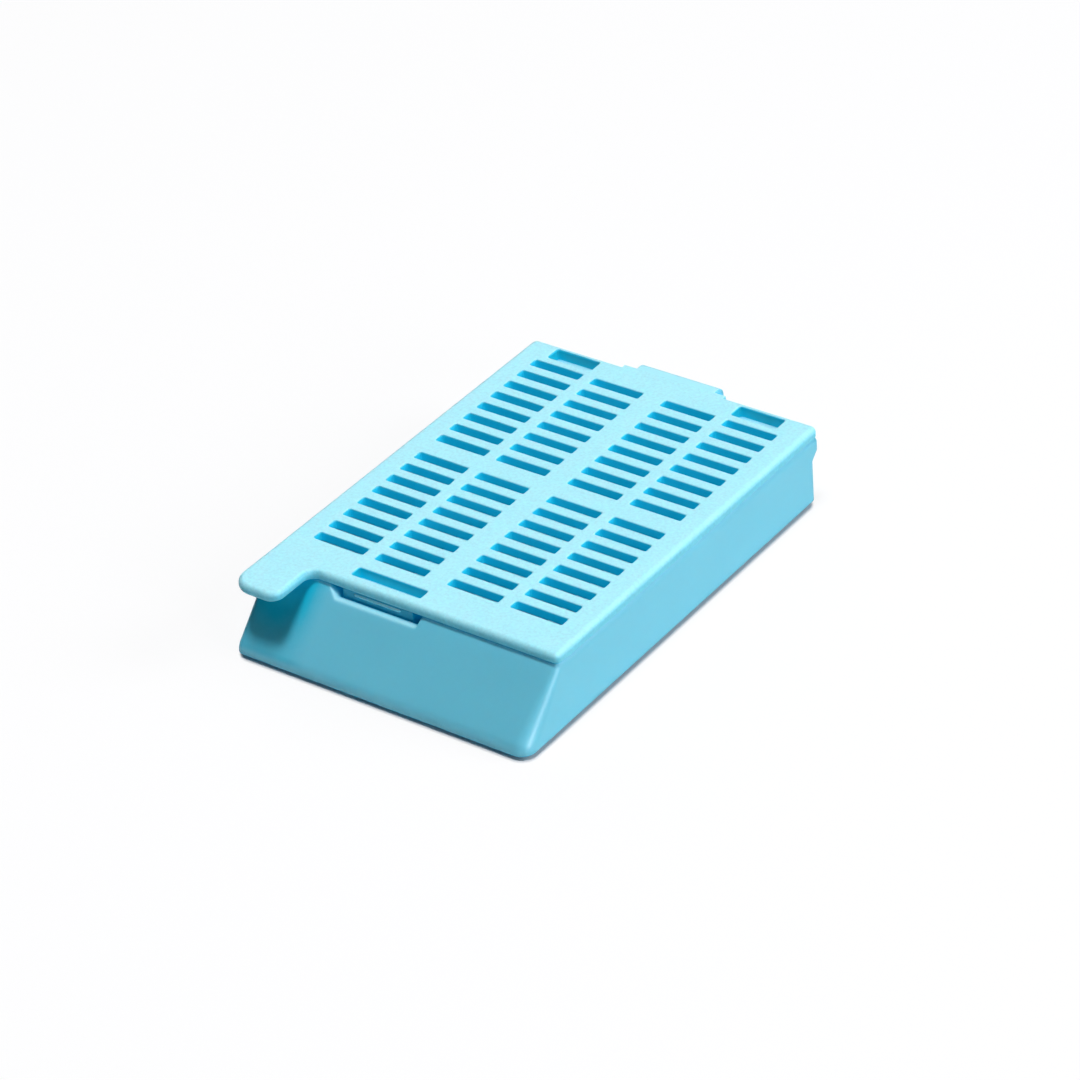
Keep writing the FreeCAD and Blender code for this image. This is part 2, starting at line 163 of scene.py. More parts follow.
# The stage, in metres. A lamp has its place and the width of its disc.
FLOOR_HALF = 3.0
FLOOR_CORNER = 1.2 * MM  # rounding of the grey ground round the foot, a painted contact shade
FLOOR_FADE = 0.35 * MM  # width over which it turns white
FLOOR_PALE = (0.95, 0.95, 0.95, 1)
FLOOR_GLOW = 0.85  # share of the white floor that is its own light
LAMP_AIM = (0.0, 0.0, 0.004)
LAMPS = {
    "overhead": ((0.0, -0.045, 0.6), 0.16),
    "right": ((0.55, 0.35, 0.35), 0.35),
    "left": ((-0.5, 0.45, 0.35), 0.35),
    "edge": ((0.70, -0.153, 0.22), 0.24),
    "glint": ((0.70, -0.153, 0.22), 0.24),  # lights nothing, and is seen as a shine only
}
CAMERA_PLACE = (0.1722328, -0.2210510, 0.1916236)
CAMERA_TURN = (55.930189, 3.873778, 35.264535)  # degrees
CAMERA_LENS = 138.979  # mm, for a sensor of 36 mm
CAMERA_SENSOR = 36.0
CAMERA_RANGE = (0.01, 20.0)


def length(name, description, millimetres):
    """A size that a user may change, kept in metres."""
    return bpy.props.FloatProperty(
        name=name,
        description=description,
        default=millimetres * MM,
        unit="LENGTH",
        precision=5,
    )


def count(name, description, default):
    return bpy.props.IntProperty(name=name, description=description, default=default, min=1)


def amount(name, description, default, top=1.0):
    return bpy.props.FloatProperty(
        name=name, description=description, default=default, min=0.0, max=top
    )


def colour(name, description, default):
    return bpy.props.FloatVectorProperty(
        name=name,
        description=description,
        default=default,
        subtype="COLOR",
        size=3,
        min=0.0,
        max=1.0,
    )


class CassetteLidSizes(bpy.types.PropertyGroup):
    """Sizes of the lid plate and what is moulded on it"""

    top_radius: length("Top edge radius", "Roundness of the lid's upper edge", 0.45)
    front_radius: length("Front lower radius", "Roundness under the front edge and the tab", 0.45)
    side_radius: length("Side lower radius", "Roundness under the sides and the rear", 0.17)
    side_top: length("Side upper radius", "Roundness of the upper edge along the sides", 0.54)
    corner_radius: length("Corner radius", "Radius of the lid's corners seen from above", 0.55)
    tab_width: length("Tab width", "Width of the finger tab", 4.57)
    tab_reach: length("Tab reach", "How far the finger tab stands out in front", 4.5)
    tab_outer: length("Tab outer radius", "Radius at the tab's outer corner", 1.7)
    tab_inner: length("Tab inner radius", "Radius at the tab's inner corner", 1.2)
    tab_root: length("Tab root radius", "Hollow radius where the tab meets the front edge", 0.9)
    recess_depth: length("Recess depth", "Depth of the hollow under the plate", 0.2)
    recess_half: length("Recess half width", "Half the width of the hollow under the plate", 13.05)
    recess_front: length("Recess front", "Front end of the hollow under the plate", -14.39)
    recess_rear: length("Recess rear", "Rear end of the hollow under the plate", 18.21)
    recess_corner: length("Recess corner", "Corner radius of the hollow under the plate", 0.5)
    land_half: length("Land half width", "Half the width of the land at the strap", 5.1)
    land_reach: length("Land reach", "How far the land stands out behind the lid", 0.22)
    land_step: length("Land step", "How far the land lies below the lid's top", 0.08)
    soft_edge: length("Soft edge", "Rounding of the small moulded edges", 0.07)


class CassetteOpenings(bpy.types.PropertyGroup):
    """Sizes of the slots and the windows"""

    slot_length: length("Slot length", "Length of one slot across the lid", 4.9)
    slot_width: length("Slot width", "Width of one slot along the lid", 0.9)
    slot_corner: length("Slot corner", "Corner radius of a slot", 0.18)
    slot_flare: length("Slot flare", "Rounding of a slot's upper edge", 0.16)
    row_pitch: length("Row pitch", "Step from one row of slots to the next", 1.92)
    first_row: length("First row", "Middle of the front row of slots", -12.94)
    rows: count("Rows", "Rows of slots along the lid", 16)
    bank_rows: count("Bank rows", "Rows of slots in one bank", 8)
    bank_gap: length("Bank gap", "Extra room between the two banks", 1.09)
    column_bar: length("Column bar", "Plate left between two columns", 1.19)
    spine: length("Spine", "Plate left along the middle", 2.24)
    front_left: length("Front window left", "Left end of the window behind the tongue", -6.345)
    front_right: length("Front window right", "Right end of the window behind the tongue", 0.405)
    front_near: length("Front window near", "Near side of the window behind the tongue", -15.997)
    front_far: length("Front window far", "Far side of the window behind the tongue", -14.897)
    rear_inner: length("Rear window inner", "Inner end of the windows over the lugs", 7.05)
    rear_outer: length("Rear window outer", "Outer end of the windows over the lugs", 11.45)
    rear_near: length("Rear window near", "Near side of the windows over the lugs", 18.21)
    rear_far: length("Rear window far", "Far side of the windows over the lugs", 19.66)


class CassetteCatches(bpy.types.PropertyGroup):
    """Sizes of the tongue and the rear lugs"""

    tongue_left: length("Tongue left", "Left side of the catch tongue", -6.65)
    tongue_right: length("Tongue right", "Right side of the catch tongue", 0.25)
    tongue_front: length("Tongue front", "Front face of the catch tongue", -16.867)
    tongue_rear: length("Tongue rear", "Rear face of the catch tongue", -15.997)
    tongue_tip: length("Tongue tip", "Height of the tongue's tip", 4.3)
    tongue_bevel: length("Tongue bevel", "Lead-in bevel on the tongue's tip", 0.25)
    bead_left: length("Bead left", "Left end of the catch bead", -5.5)
    bead_right: length("Bead right", "Right end of the catch bead", -0.9)
    bead_top: length("Bead height", "Height of the bead's ridge", 5.7)
    bead_height: length("Bead width", "Width of the bead across its ridge", 0.26)
    bead_reach: length("Bead reach", "How far the bead stands out", 0.13)
    lug_inner: length("Lug inner", "Inner end of the rear lugs", 7.25)
    lug_outer: length("Lug outer", "Outer end of the rear lugs", 11.25)
    lug_front: length("Lug front", "Front face of the rear lugs", 17.51)
    lug_rear: length("Lug rear", "Rear face of the rear lugs", 18.06)
    lug_tip: length("Lug tip", "Height of the lugs' tips", 4.7)


class CassetteStrap(bpy.types.PropertyGroup):
    """Sizes of the living hinge"""

    half_width: length("Half width", "Half the width of the strap", 3.95)
    thickness: length("Thickness", "Thickness of the strap", 0.3)
    upper: length("Upper run", "Height of the upper run's middle", 6.61)
    lower: length("Lower run", "Height of the lower run's middle", 5.19)
    root: length("Root", "Where the runs start inside the lands", 20.36)
    bend: length("Bend", "Where the runs turn into the fold", 20.98)


class CassetteColours(bpy.types.PropertyGroup):
    """Colours and finish of the plastic, with the light, shade and glow painted on it"""

    # The grained and the smooth colour: the grain is real, but the paler colour of upper faces and the
    # deeper colour of upright ones are painted light and shade.
    grained_lit: colour("Grained face", "Colour of the fine grained faces", (0.42, 0.86, 0.965))
    smooth: colour("Smooth face", "Colour of the smooth side walls", (0.175, 0.645, 0.80))
    # Painted shade: the lid's rounded rim is painted deeper as it turns away from the top.
    rim: colour("Rim", "Colour of the lid's rounded rim", (0.18, 0.68, 0.82))
    # Painted shade: the tongue is painted dark, as it lies in shadow in its notch.
    tongue: colour("Tongue", "Colour of the tongue in its notch", (0.02, 0.40, 0.60))
    # Painted shade inside the windows: their walls are painted this deep colour.
    window: colour("Window wall", "Colour inside the windows", (0.01, 0.44, 0.58))
    # Painted glow inside the windows, standing in for light scattered into them.
    painted_window_glow: colour("Window light", "Light that scatters into the windows", (0.0, 0.13, 0.19))
    # Painted shade: the slot walls are painted this deeper colour, as they lie in shade.
    shaded_bore: colour("Slot wall", "Colour inside the slots", (0.02, 0.60, 0.82))
    # Painted shade: narrow gaps are painted this colour where shade falls in them.
    painted_shade: colour("Deep", "Colour that narrow gaps turn to", (0.0, 0.50, 0.68))
    # Painted glow in narrow gaps, standing in for light scattered through the plastic.
    inner: colour("Inner light", "Light that scatters through the plastic into gaps", (0.0, 0.03, 0.065))
    # Painted glow in the slots, standing in for light scattered through the thin bars.
    painted_slot_glow: colour("Slot light", "Light that scatters through the thin bars", (0.0, 0.25, 0.40))
    # Painted glow on the strap, standing in for light passing through the thin plastic.
    painted_strap_glow: colour("Strap light", "Light that passes through the thin strap", (0.16, 0.50, 0.62))
    lamp: colour("Lamp", "Colour of the studio lamps", (0.95, 0.955, 1.0))
    roughness: amount("Roughness", "Roughness of the grained faces", 0.55)
    polish: amount("Polish", "Roughness of the smooth faces", 0.36)
    glow: amount("Glow", "How much light passes under the surface", 0.5)


class CassetteLights(bpy.types.PropertyGroup):
    """Studio light and backdrop"""

    overhead: amount("Overhead", "Strength of the overhead lamp in watts", 2.58, 100.0)
    right: amount("Right", "Strength of the lamp at the right in watts", 2.75, 100.0)
    left: amount("Left", "Strength of the lamp at the left in watts", 0.74, 100.0)
    edge: amount("Edge", "Strength of the low lamp that lights the front corner in watts", 1.5, 100.0)
    glint: amount("Glint", "Strength of the lamp seen only as a shine in watts", 2.2, 100.0)
    # The floor's grey bounces light, and shows round the foot as a painted contact shade.
    floor: colour("Floor", "Colour of the floor", (0.65, 0.65, 0.65))
    gap: length("Foot gap", "Gap between the floor and the foot rim", 0.26)


# ---------------------------------------------------------------- mesh tools


def new_object(name, mesh, *materials):
    obj = bpy.data.objects.new(name, mesh)
    bpy.context.scene.collection.objects.link(obj)
    for material in materials:
        mesh.materials.append(material)
    return obj


def mesh_from(bm, name):
    bmesh.ops.remove_doubles(bm, verts=bm.verts, dist=WELD_FINE)
    bmesh.ops.recalc_face_normals(bm, faces=bm.faces)
    mesh = bpy.data.meshes.new(name)
    bm.to_mesh(mesh)
    bm.free()
    return mesh


def outline(corners, steps):
    """Points and outward directions along a plan outline with rounded corners.

    corners go counter-clockwise as (x, y, radius); a radius of 0 leaves a plain point.
    """
    points = []
    total = len(corners)
    for i, (x, y, radius) in enumerate(corners):
        corner = Vector((x, y))
        before = Vector(corners[i - 1][:2])
        after = Vector(corners[(i + 1) % total][:2])
        into = (corner - before).normalized()
        out = (after - corner).normalized()
        turn = math.atan2(into.x * out.y - into.y * out.x, into.dot(out))
        if radius == 0:
            points.append((corner, Vector((into.y, -into.x))))
            continue
        sign = 1 if turn > 0 else -1
        reach = radius * math.tan(abs(turn) / 2)
        inward = Vector((-into.y, into.x)) * sign
        centre = corner - into * reach + inward * radius
        spoke = -inward
        for k in range(steps + 1):
            direction = Matrix.Rotation(turn * k / steps, 2) @ spoke
            points.append((centre + direction * radius, direction * sign))
    return points


def ring(points, inset, z):
    """One closed ring of a loft; inset may be a number or a function of the point."""
    found = []
    for point, normal in points:
        step = inset(point) if callable(inset) else inset
        height = z(point) if callable(z) else z
        place = point - normal * step
        found.append(Vector((place.x, place.y, height)))
    return found


def loft(bm, rings, edge_from=None):
    """Faces between rings of equal length, with both ends capped.

    Bands from number edge_from on take the second material.
    """
    rows = [[bm.verts.new(p) for p in one] for one in rings]
    size = len(rows[0])
    for number, (low, high) in enumerate(zip(rows, rows[1:])):
        for i in range(size):
            j = (i + 1) % size
            face = bm.faces.new((low[i], low[j], high[j], high[i]))
            face.material_index = int(edge_from is not None and number >= edge_from)
    bm.faces.new(list(reversed(rows[0])))
    bm.faces.new(rows[-1])


def rectangle(x0, x1, y0, y1, radius):
    return [(x0, y0, radius), (x1, y0, radius), (x1, y1, radius), (x0, y1, radius)]


def prism(name, corners, z0, z1, *materials):
    """A plain block with rounded upright corners."""
    bm = bmesh.new()
    points = outline(corners, CORNER_STEPS)
    loft(bm, [ring(points, 0, z0), ring(points, 0, z1)])
    return new_object(name, mesh_from(bm, name), *materials)


def opening(name, x0, x1, y0, y1, low, high, corner, flare, *materials):
    """A cutter for one opening, with its upper edge rounded outwards."""
    bm = bmesh.new()
    points = outline(rectangle(x0, x1, y0, y1, corner), CORNER_STEPS)
    rings = [ring(points, 0, low)]
    steps = 4
    for k in range(steps + 1):
        angle = math.pi / 2 * k / steps
        spread = flare * (1 - math.cos(angle))
        rings.append(ring(points, -spread, high - flare + flare * math.sin(angle)))
    rings.append(ring(points, -flare, high + flare))
    loft(bm, rings, 1)
    return new_object(name, mesh_from(bm, name), *materials)


def soften(obj, width, limit=SHARP_ANGLE):
    """Rounds the sharp edges of one piece."""
    bevel = obj.modifiers.new("soft edges", "BEVEL")
    bevel.width = width
    bevel.segments = SOFT_STEPS
    bevel.limit_method = "ANGLE"
    bevel.angle_limit = math.radians(limit)
    bevel.use_clamp_overlap = True
    settle(obj)


def combine(obj, other, operation):
    """Joins or cuts with another object, which is then removed."""
    boolean = obj.modifiers.new(operation.lower(), "BOOLEAN")
    boolean.operation = operation
    boolean.solver = "EXACT"
    boolean.material_mode = "TRANSFER"
    boolean.object = other
    settle(obj)
    bpy.data.objects.remove(other)


def settle(obj):
    """Turns the evaluated object into a plain mesh and removes its modifiers."""
    graph = bpy.context.evaluated_depsgraph_get()
    mesh = bpy.data.meshes.new_from_object(obj.evaluated_get(graph))
    obj.modifiers.clear()
    obj.data = mesh


def shade(obj):
    """Smooth shading that keeps the large faces flat."""
    mesh = obj.data
    bm = bmesh.new()
    bm.from_mesh(mesh)
    for face in bm.faces:
        face.smooth = True
    for edge in bm.edges:
        soft = edge.calc_face_angle(0.0) < math.radians(SHARP_ANGLE)
        edge.smooth = len(edge.link_faces) == 2 and soft
    bm.to_mesh(mesh)
    bm.free()
    weighted = obj.modifiers.new("flat faces", "WEIGHTED_NORMAL")
    weighted.weight = 100
    weighted.keep_sharp = True
    settle(obj)


# ---------------------------------------------------------------- materials


def add(tree, kind, x=0, y=0, inputs=None, **settings):
    """A node, placed for a reader. Of its inputs a value is set and an output is linked."""
    node = tree.nodes.new(kind)
    node.location = (x, y)
    for key, value in settings.items():
        setattr(node, key, value)
    for key, value in (inputs or {}).items():
        if isinstance(value, bpy.types.NodeSocket):
            tree.links.new(value, node.inputs[key])
        else:
            node.inputs[key].default_value = value
    return node


def socket(group, name, kind, default=None, output=False):
    made = group.interface.new_socket(
        name=name, in_out="OUTPUT" if output else "INPUT", socket_type=kind
    )
    if default is not None:
        made.default_value = default
    return made


def grain_and_painted_light_group():
    """Fine moulded grain on upper faces, with painted light and shade: upper faces lighter, upright ones
    deeper, gaps and the face under the finger tab darker, and a painted glow in gaps.
    """
    name = "Moulded grain"
    if name in bpy.data.node_groups:
        return bpy.data.node_groups[name]
    group = bpy.data.node_groups.new(name, "ShaderNodeTree")
    for label in ("Grained Colour", "Smooth Colour", "Deep Colour", "Inner Light"):
        socket(group, label, "NodeSocketColor")
    for label in (
        "Grain Scale", "Grained Roughness", "Smooth Roughness", "Speckle", "Tab Side",
        "Smooth Up To", "Grained From",
    ):
        socket(group, label, "NodeSocketFloat")
    socket(group, "Facing", "NodeSocketVector")
    for label in ("Color", "Glow"):
        socket(group, label, "NodeSocketColor", output=True)
    for label in ("Roughness", "Height"):
        socket(group, label, "NodeSocketFloat", output=True)
    given = add(group, "NodeGroupInput", -1200, 0).outputs
    place = add(group, "ShaderNodeTexCoord", -1200, -400).outputs["Object"]

    def maths(operation, x, y, *values):
        node = add(group, "ShaderNodeMath", x, y, dict(enumerate(values)), operation=operation)
        return node.outputs[0]

    def ramp(x, y, value, low, high, **settings):
        """How far a value has come from low to high, as 0 to 1."""
        inputs = {"Value": value, "From Min": low, "From Max": high}
        return add(group, "ShaderNodeMapRange", x, y, inputs, **settings).outputs["Result"]

    def mixed(x, y, share, first, second):
        inputs = {"Factor": share, MIX_A: first, MIX_B: second}
        return add(group, "ShaderNodeMix", x, y, inputs, data_type="RGBA").outputs[MIX_RESULT]

    def scaled(x, y, what, by):
        inputs = {0: what, "Scale": by}
        return add(group, "ShaderNodeVectorMath", x, y, inputs, operation="SCALE").outputs[0]

    def open_sky(y, reach):
        inputs = {"Distance": reach}
        node = add(group, "ShaderNodeAmbientOcclusion", -600, y, inputs, samples=AO_SAMPLES)
        return node.outputs["AO"]

    # Upper faces carry the grain and are painted lighter, upright ones are painted deeper, as if lit
    # from above: the object's own upward direction says which they are.
    own = add(
        group, "ShaderNodeVectorTransform", -1100, -150, {0: given["Facing"]},
        vector_type="NORMAL", convert_from="WORLD", convert_to="OBJECT",
    )
    upward = add(group, "ShaderNodeSeparateXYZ", -1000, -300, {0: own.outputs[0]}).outputs["Z"]
    grained_lit = ramp(
        -800, -300, upward, given["Smooth Up To"], given["Grained From"],
        interpolation_type="SMOOTHSTEP",
    )
    fine = add(group, "ShaderNodeTexNoise", -800, -600, {
        "Vector": place, "Scale": given["Grain Scale"],
        "Detail": GRAIN_DETAIL, "Roughness": GRAIN_SHARPNESS,
    }).outputs["Fac"]
    broad = add(group, "ShaderNodeTexNoise", -800, -900, {
        "Vector": place, "Scale": MOTTLE_SCALE, "Detail": MOTTLE_DETAIL,
    }).outputs["Fac"]
    # Painted light and shade by lean: the paler colour on upper faces, the deeper one on upright faces.
    plain = mixed(-400, 200, grained_lit, given["Smooth Colour"], given["Grained Colour"])

    # Speckle: the fine noise lightens and darkens the colour a little.
    centred = maths("SUBTRACT", -500, -600, fine, NOISE_MIDDLE)
    sized = maths("MULTIPLY", -300, -600, centred, given["Speckle"])
    drift = maths("SUBTRACT", -500, -900, broad, NOISE_MIDDLE)
    drifted = maths("MULTIPLY_ADD", -300, -900, drift, MOTTLE_DEPTH, sized)
    level = maths("ADD", -100, -700, drifted, 1.0)

    # Painted shade and glow: narrow gaps are painted a deeper colour and glow a little, standing in for
    # shade and for light scattered through the plastic.
    hollow = maths("SUBTRACT", -400, 600, 1.0, open_sky(600, GAP_REACH))
    painted_gap_shade = ramp(-200, 700, hollow, *GAP_CLOSED)

    # Painted shadow: a wider look round darkens the sloping face under the finger tab, and only there.
    shaded = ramp(-400, 900, open_sky(900, SHADE_REACH), *SHADE_OPEN)
    steep = ramp(-400, 1200, upward, *SLOPE_STEEP)
    flat = ramp(-400, 1400, upward, *SLOPE_FLAT)
    slanted = maths("MULTIPLY", -200, 1200, steep, flat)
    across = add(group, "ShaderNodeSeparateXYZ", -600, 1600, {0: place}).outputs["X"]
    beyond_tab = maths("ADD", -600, 1800, given["Tab Side"], TAB_FADE)
    beneath = ramp(-400, 1600, across, beyond_tab, given["Tab Side"])
    under_tab = maths("MULTIPLY", -200, 1400, slanted, beneath)
    painted_tab_shadow = maths("MULTIPLY", -200, 1000, shaded, under_tab)
    painted_shade_share = maths("MAXIMUM", 0, 800, painted_tab_shadow, painted_gap_shade)
    with_painted_shade = mixed(0, 400, painted_shade_share, plain, given["Deep Colour"])

    finish = add(group, "ShaderNodeMapRange", 0, -200, {
        "Value": grained_lit,
        "To Min": given["Smooth Roughness"], "To Max": given["Grained Roughness"],
    }).outputs["Result"]
    depth = add(group, "ShaderNodeMapRange", 0, -450, {
        "Value": grained_lit, "To Min": SMOOTH_HEIGHT,
    }).outputs["Result"]
    add(group, "NodeGroupOutput", 900, 0, {
        "Color": scaled(200, 200, with_painted_shade, level),
        "Glow": scaled(200, 600, given["Inner Light"], hollow),
        "Roughness": maths("MULTIPLY_ADD", 200, -200, centred, ROUGHNESS_SPREAD, finish),
        "Height": maths("MULTIPLY", 300, -450, fine, depth),
    })
    return group


def plastic(name):
    """One finish of the acetal, made the first time that a piece asks for it."""
    if name in bpy.data.materials:
        return bpy.data.materials[name]
    colours = bpy.context.scene.cassette_colours
    tab_width = bpy.context.scene.cassette_lid.tab_width
    look = {**PLAIN_FINISH, **FINISHES[name]}
    material = bpy.data.materials.new(name)
    material.use_nodes = True
    tree = material.node_tree
    if look["edge"]:
        inputs = {"Radius": look["edge"]}
        faced = add(tree, "ShaderNodeBevel", -900, -300, inputs, samples=BEVEL_SAMPLES)
    else:
        faced = add(tree, "ShaderNodeNewGeometry", -900, -300)
    grain = add(tree, "ShaderNodeGroup", -600, 0, {
        "Grained Colour": (*getattr(colours, look["grained_lit"]), 1),
        "Smooth Colour": (*getattr(colours, look["smooth"]), 1),
        "Deep Colour": (*colours.painted_shade, 1),
        "Inner Light": (*getattr(colours, look["painted_glow"]), 1),
        "Grain Scale": look["scale"],
        "Grained Roughness": colours.roughness,
        "Smooth Roughness": colours.polish,
        "Speckle": look["speckle"],
        # Where the painted shadow under the finger tab ends.
        "Tab Side": LID_LOW.x + tab_width + TAB_MARGIN,
        "Smooth Up To": look["turn"][0],
        "Grained From": look["turn"][1],
        "Facing": faced.outputs["Normal"],
    }, node_tree=grain_and_painted_light_group()).outputs
    bumps = add(tree, "ShaderNodeBump", -300, -300, {
        "Strength": 1.0, "Distance": look["bump"],
        "Height": grain["Height"], "Normal": faced.outputs["Normal"],
    })
    shader = tree.nodes["Principled BSDF"].inputs
    for label, output in (
        ("Base Color", grain["Color"]), ("Emission Color", grain["Glow"]),
        ("Roughness", grain["Roughness"]), ("Normal", bumps.outputs["Normal"]),
    ):
        tree.links.new(output, shader[label])
    # The emission shows the painted glow.
    shader["Emission Strength"].default_value = 1.0
    shader["IOR"].default_value = ACETAL_IOR
    shader["Specular IOR Level"].default_value = look["shine"]
    shader["Subsurface Weight"].default_value = colours.glow
    shader["Subsurface Radius"].default_value = SCATTER_COLOUR
    shader["Subsurface Scale"].default_value = SCATTER_DEPTH
    return material


# ---------------------------------------------------------------- slot pattern


# Sockets of the pattern, which are the fields of CassetteOpenings with the same names.
SLOT_FIELDS = (
    "Slot Length", "Slot Width", "Slot Corner", "Slot Flare",
    "Row Pitch", "First Row", "Bank Gap", "Column Bar", "Spine",
)


def slot_tree():
    """Geometry nodes that lay out one cutter for each slot of the pattern."""
    name = "Slot cutters"
    if name in bpy.data.node_groups:
        return bpy.data.node_groups[name]
    tree = bpy.data.node_groups.new(name, "GeometryNodeTree")
    for label in (*SLOT_FIELDS, "Top", "Bottom"):
        socket(tree, label, "NodeSocketFloat", 0.0)
    socket(tree, "Rows", "NodeSocketInt", 16)
    socket(tree, "Bank Rows", "NodeSocketInt", 8)
    socket(tree, "Material", "NodeSocketMaterial")
    socket(tree, "Edge Material", "NodeSocketMaterial")
    socket(tree, "Geometry", "NodeSocketGeometry", output=True)
    link = tree.links.new
    given = add(tree, "NodeGroupInput", -2200, 0)
    out = add(tree, "NodeGroupOutput", 2600, 0)

    def math_node(operation, a, b=None, c=None, x=0, y=0):
        node = add(tree, "ShaderNodeMath", x, y, operation=operation)
        for i, value in enumerate((a, b, c)):
            if value is None:
                continue
            if isinstance(value, (int, float)):
                node.inputs[i].default_value = value
            else:
                link(value, node.inputs[i])
        return node.outputs[0]

    def get(label):
        return given.outputs[label]

    # One cutter: a rounded rectangle drawn up, then spread at its upper edge.
    shape = add(tree, "GeometryNodeCurvePrimitiveQuadrilateral", -1800, 400)
    link(get("Slot Length"), shape.inputs["Width"])
    link(get("Slot Width"), shape.inputs["Height"])
    fillet = add(tree, "GeometryNodeFilletCurve", -1600, 400, mode="POLY")
    fillet.inputs["Count"].default_value = CORNER_STEPS
    fillet.inputs["Limit Radius"].default_value = True
    link(shape.outputs["Curve"], fillet.inputs["Curve"])
    link(get("Slot Corner"), fillet.inputs["Radius"])
    fill = add(tree, "GeometryNodeFillCurve", -1400, 400, mode="NGONS")
    link(fillet.outputs["Curve"], fill.inputs["Curve"])
    lowered = add(tree, "GeometryNodeTransform", -1200, 400)
    down = add(tree, "ShaderNodeCombineXYZ", -1400, 200)
    link(get("Bottom"), down.inputs["Z"])
    link(fill.outputs["Mesh"], lowered.inputs["Geometry"])
    link(down.outputs[0], lowered.inputs["Translation"])
    turned = add(tree, "GeometryNodeFlipFaces", -1000, 200)
    link(lowered.outputs["Geometry"], turned.inputs["Mesh"])

    flare = get("Slot Flare")
    whole = math_node("SUBTRACT", get("Top"), get("Bottom"), x=-1400)
    straight = math_node("SUBTRACT", whole, flare, x=-1200)
    body = lowered.outputs["Geometry"]
    rises = [(straight, None)]
    steps = 4
    for k in range(1, steps + 1):
        a0 = math.pi / 2 * (k - 1) / steps
        a1 = math.pi / 2 * k / steps
        rise = math_node("MULTIPLY", flare, math.sin(a1) - math.sin(a0), y=-200 - 60 * k)
        spread = math_node("MULTIPLY", flare, math.cos(a0) - math.cos(a1), y=-500 - 60 * k)
        rises.append((rise, spread))
    rises.append((flare, None))
    place = add(tree, "GeometryNodeInputPosition", -1000, -600)
    parts = add(tree, "ShaderNodeSeparateXYZ", -800, -600)
    link(place.outputs[0], parts.inputs[0])
    side_x = math_node("SIGN", parts.outputs["X"], x=-600, y=-600)
    side_y = math_node("SIGN", parts.outputs["Y"], x=-600, y=-760)
    for k, (rise, spread) in enumerate(rises):
        extrude = add(tree, "GeometryNodeExtrudeMesh", -800 + 300 * k, 400, mode="FACES")
        extrude.inputs["Individual"].default_value = False
        upward = add(tree, "ShaderNodeCombineXYZ", -900 + 300 * k, 200)
        link(rise, upward.inputs["Z"])
        link(body, extrude.inputs["Mesh"])
        link(upward.outputs[0], extrude.inputs["Offset"])
        if k:
            link(previous_top, extrude.inputs["Selection"])
        body = extrude.outputs["Mesh"]
        previous_top = extrude.outputs["Top"]
        if spread is not None:
            move = add(tree, "GeometryNodeSetPosition", -650 + 300 * k, 400)
            shift = add(tree, "ShaderNodeCombineXYZ", -750 + 300 * k, 0)
            link(math_node("MULTIPLY", side_x, spread, y=-900), shift.inputs["X"])
            link(math_node("MULTIPLY", side_y, spread, y=-1000), shift.inputs["Y"])
            link(body, move.inputs["Geometry"])
            link(extrude.outputs["Top"], move.inputs["Selection"])
            link(shift.outputs[0], move.inputs["Offset"])
            body = move.outputs["Geometry"]
    both = add(tree, "GeometryNodeJoinGeometry", 1300, 300)
    link(body, both.inputs[0])
    link(turned.outputs["Mesh"], both.inputs[0])
    welded = add(tree, "GeometryNodeMergeByDistance", 1500, 300)
    welded.inputs["Distance"].default_value = WELD
    link(both.outputs[0], welded.inputs["Geometry"])

    # The pattern: four columns, two either side of the spine, rows in two banks.
    columns = 4
    points = add(tree, "GeometryNodeMeshLine", 900, -200)
    link(math_node("MULTIPLY", get("Rows"), columns, x=700, y=-200), points.inputs["Count"])
    index = add(tree, "GeometryNodeInputIndex", 300, -500).outputs[0]
    column = math_node("MODULO", index, columns, x=500, y=-400)
    share = math_node("DIVIDE", index, columns, x=500, y=-600)
    row = math_node("FLOOR", share, x=650, y=-600)
    centred = math_node("SUBTRACT", column, (columns - 1) / 2, x=700, y=-400)
    sideways = math_node("ABSOLUTE", centred, x=800, y=-450)
    outward = math_node("SUBTRACT", sideways, 0.5, x=850, y=-450)
    step = math_node("ADD", get("Slot Length"), get("Column Bar"), x=800, y=-550)
    half_spine = math_node("MULTIPLY", get("Spine"), 0.5)
    half_slot = math_node("MULTIPLY", get("Slot Length"), 0.5)
    inner = math_node("ADD", half_spine, half_slot)
    reach = math_node("MULTIPLY_ADD", outward, step, inner, x=950, y=-450)
    x = math_node("MULTIPLY", math_node("SIGN", centred, x=900, y=-350), reach, x=1050, y=-400)
    bank = math_node("FLOOR", math_node("DIVIDE", row, get("Bank Rows"), x=800, y=-700), x=900, y=-700)
    along = math_node("MULTIPLY_ADD", row, get("Row Pitch"), get("First Row"), x=900, y=-850)
    y = math_node("MULTIPLY_ADD", bank, get("Bank Gap"), along, x=1050, y=-750)
    spot = add(tree, "ShaderNodeCombineXYZ", 1200, -500)
    link(x, spot.inputs["X"])
    link(y, spot.inputs["Y"])
    placed = add(tree, "GeometryNodeSetPosition", 1300, -200)
    link(points.outputs["Mesh"], placed.inputs["Geometry"])
    link(spot.outputs[0], placed.inputs["Position"])
    many = add(tree, "GeometryNodeInstanceOnPoints", 1700, 0)
    link(placed.outputs["Geometry"], many.inputs["Points"])
    link(welded.outputs["Geometry"], many.inputs["Instance"])
    real = add(tree, "GeometryNodeRealizeInstances", 1950, 0)
    link(many.outputs["Instances"], real.inputs["Geometry"])
    coloured = add(tree, "GeometryNodeSetMaterial", 2200, 0)
    link(real.outputs["Geometry"], coloured.inputs["Geometry"])
    link(get("Material"), coloured.inputs["Material"])
